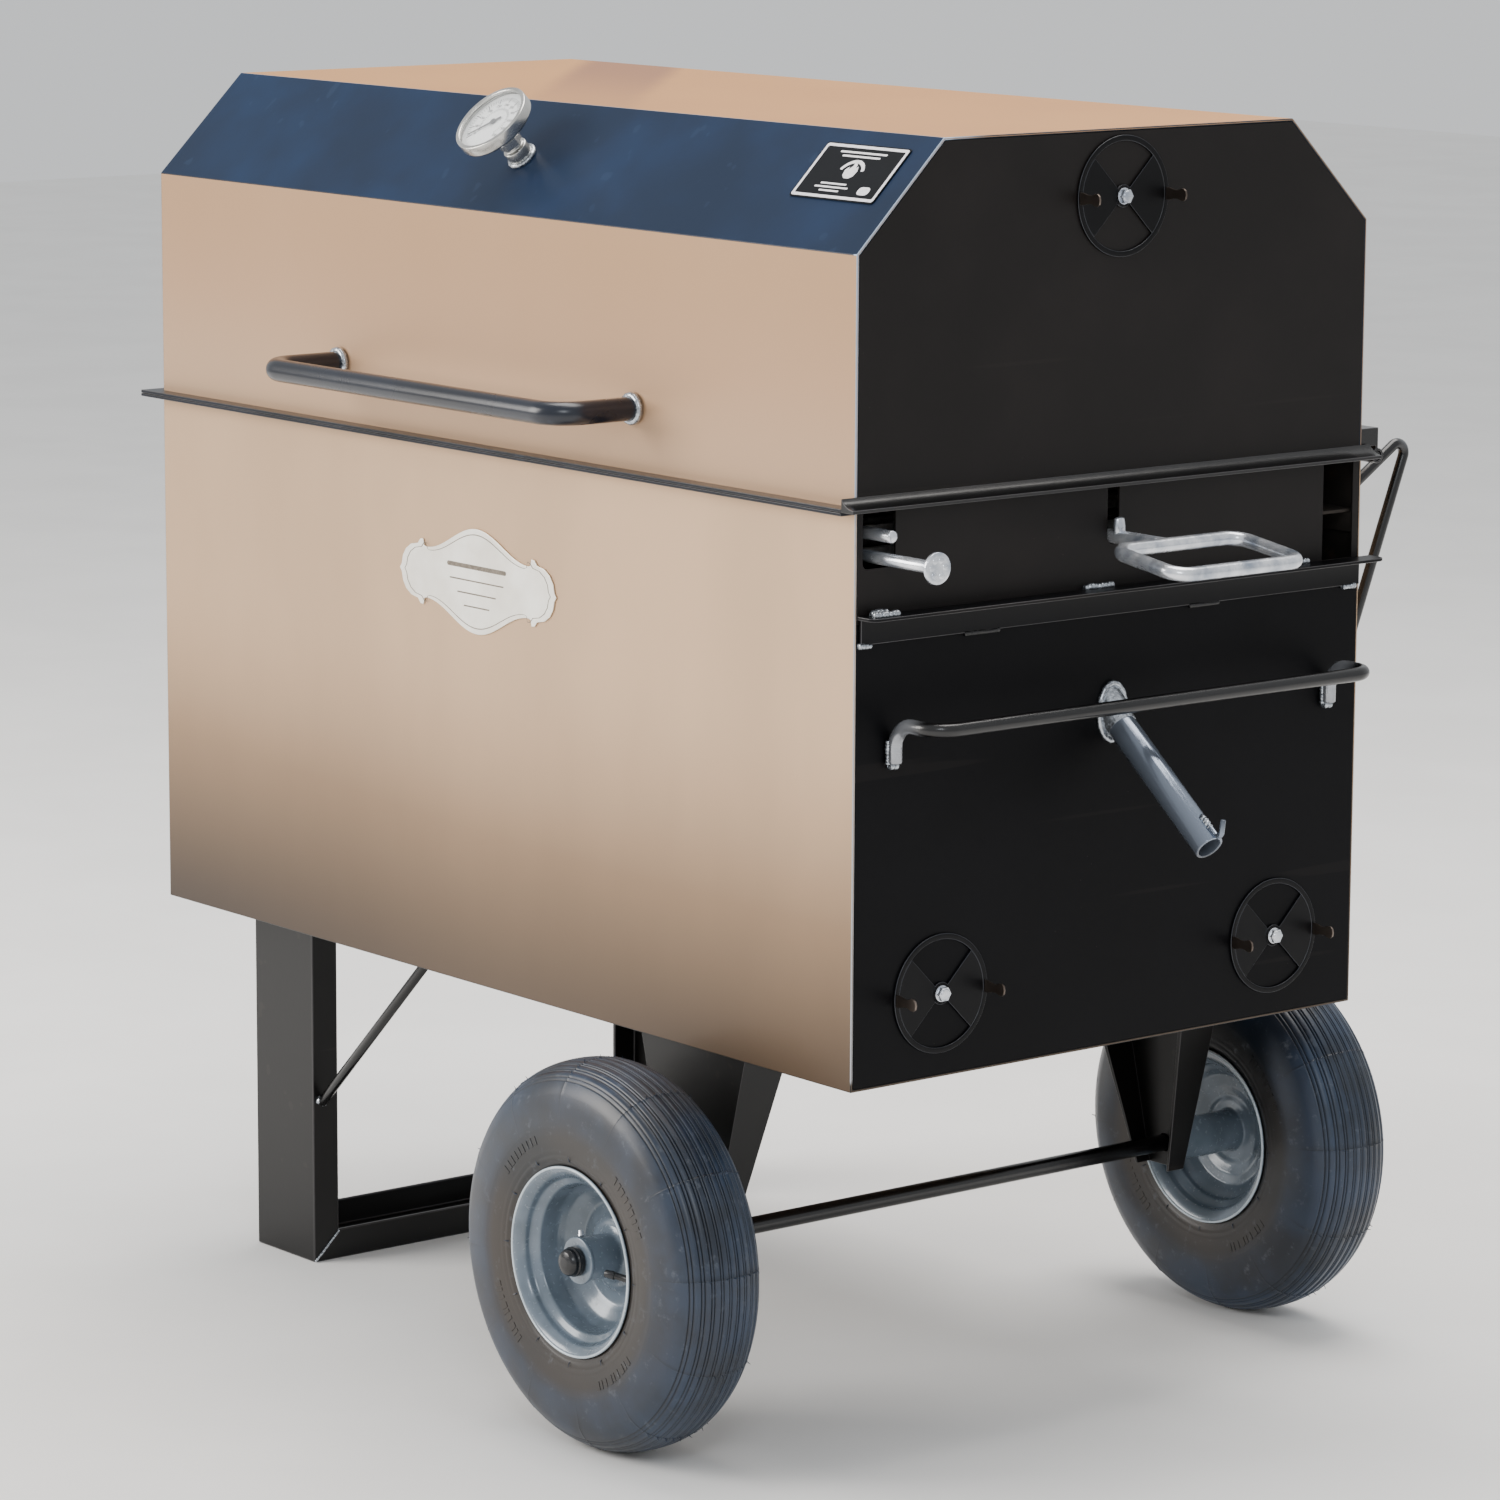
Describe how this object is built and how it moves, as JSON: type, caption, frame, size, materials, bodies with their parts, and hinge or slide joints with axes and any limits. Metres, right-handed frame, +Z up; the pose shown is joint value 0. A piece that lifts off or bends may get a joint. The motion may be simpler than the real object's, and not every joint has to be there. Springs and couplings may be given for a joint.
{
  "type": "charcoal barbecue cooker",
  "caption": "Wheeled charcoal barbecue: box body with hinged faceted lid, flip grates on a loop handle, air dampers, drain spout, pneumatic wheels and a leg frame",
  "frame": {"origin": "on the ground, under the middle of the bounding box", "axes": "+X along the cooker's length to the end with the dampers and the grate handle; -Y is the front, where the lid handle is; +Z up"},
  "size_m": [1.2931, 0.8686, 1.1878],
  "materials": {
    "panel_paint": "satin metallic tan paint",
    "end_paint": "satin black paint",
    "frame_paint": "satin black paint on bars and channels",
    "zinc": "bright zinc plate",
    "stainless": "brushed stainless steel",
    "grate_steel": "stainless rod",
    "iron": "plain dark steel",
    "rim_paint": "grey-blue enamel",
    "tyre": "matt rubber",
    "cap_black": "black cap",
    "dial_white": "printed white dial",
    "needle_black": "black enamel",
    "glass": "clear",
    "label": "dark label with a pale border"
  },
  "bodies": {
    "frame": {"body_wrapper": "panel_paint", "left_end_plate": "end_paint", "right_end_plate": "end_paint", "right_slot_band": "end_paint", "body_top_flange": "frame_paint", "right_ledge_angle": "frame_paint", "drain_spout": "frame_paint", "push_bar_right": "frame_paint", "push_bar_left": "frame_paint", "lid_rest_right": "frame_paint", "lid_rest_left": "frame_paint", "hinge_body_right": "frame_paint", "hinge_body_left": "frame_paint", "leg_front": "frame_paint", "leg_rear": "frame_paint", "foot_channel": "frame_paint", "leg_brace_front": "frame_paint", "leg_brace_rear": "frame_paint", "axle_bracket_front": "frame_paint", "axle_bracket_rear": "frame_paint", "axle": "frame_paint", "damper_bolt_front": "zinc", "damper_bolt_rear": "zinc", "badge_plate": "stainless", "drip_pan": "iron", "pan_rail_front": "iron", "pan_rail_rear": "iron", "grate_rest_front": "iron", "grate_rest_rear": "iron", "charcoal_grate": "iron", "axle_cap_front": "cap_black", "axle_cap_rear": "cap_black"},
    "lid": {"lid_wrapper": "panel_paint", "lid_end_left": "end_paint", "lid_end_right": "end_paint", "lid_flange": "frame_paint", "lid_lip_right": "frame_paint", "lid_handle": "frame_paint", "gauge_case": "stainless", "gauge_dial": "dial_white", "gauge_glass": "glass", "gauge_fitting": "stainless", "label_plate": "label", "damper_bolt_lid": "zinc", "hinge_lid_right": "frame_paint", "hinge_lid_left": "frame_paint"},
    "gauge_pointer": {"gauge_needle": "needle_black"},
    "front_damper": {"damper_disc_front": "end_paint"},
    "rear_damper": {"damper_disc_rear": "end_paint"},
    "lid_damper": {"damper_disc_lid": "end_paint"},
    "front_wheel": {"rim_front": "rim_paint", "tyre_front": "tyre"},
    "rear_wheel": {"rim_rear": "rim_paint", "tyre_rear": "tyre"},
    "grates": {"lower_grate": "grate_steel", "upper_grate": "grate_steel", "grate_handle": "zinc"},
    "locking_pin": {"grate_pin": "zinc"}
  },
  "joints": [
    {"name": "lid_hinge", "type": "hinge", "parent": "frame", "child": "lid", "pos_m": [-0.04444, 0.322, 0.86015], "axis": [-1, 0, 0], "range_deg": [0, 90]},
    {"name": "gauge_turn", "type": "hinge", "parent": "lid", "child": "gauge_pointer", "pos_m": [-0.04444, -0.28551, 1.15677], "axis": [0, 0.7034, -0.7108], "range_deg": [0, 260]},
    {"name": "front_damper_turn", "type": "hinge", "parent": "frame", "child": "front_damper", "pos_m": [0.49036, -0.199, 0.43], "axis": [1, 0, 0], "range_deg": [0, 90]},
    {"name": "rear_damper_turn", "type": "hinge", "parent": "frame", "child": "rear_damper", "pos_m": [0.49036, 0.199, 0.43], "axis": [1, 0, 0], "range_deg": [0, 90]},
    {"name": "lid_damper_turn", "type": "hinge", "parent": "lid", "child": "lid_damper", "pos_m": [0.49036, 0, 1.1123], "axis": [1, 0, 0], "range_deg": [0, 90]},
    {"name": "front_wheel_spin", "type": "hinge", "parent": "frame", "child": "front_wheel", "pos_m": [0.25756, -0.381, 0.1765], "axis": [0, 1, 0], "continuous": true},
    {"name": "rear_wheel_spin", "type": "hinge", "parent": "frame", "child": "rear_wheel", "pos_m": [0.25756, 0.381, 0.1765], "axis": [0, 1, 0], "continuous": true},
    {"name": "grate_lift", "type": "slide", "parent": "frame", "child": "grates", "axis": [0, 0, 1], "range_m": [0, 0.012]},
    {"name": "locking_pin_slide", "type": "slide", "parent": "grates", "child": "locking_pin", "axis": [1, 0, 0], "range_m": [0, 0.09]}
  ]
}
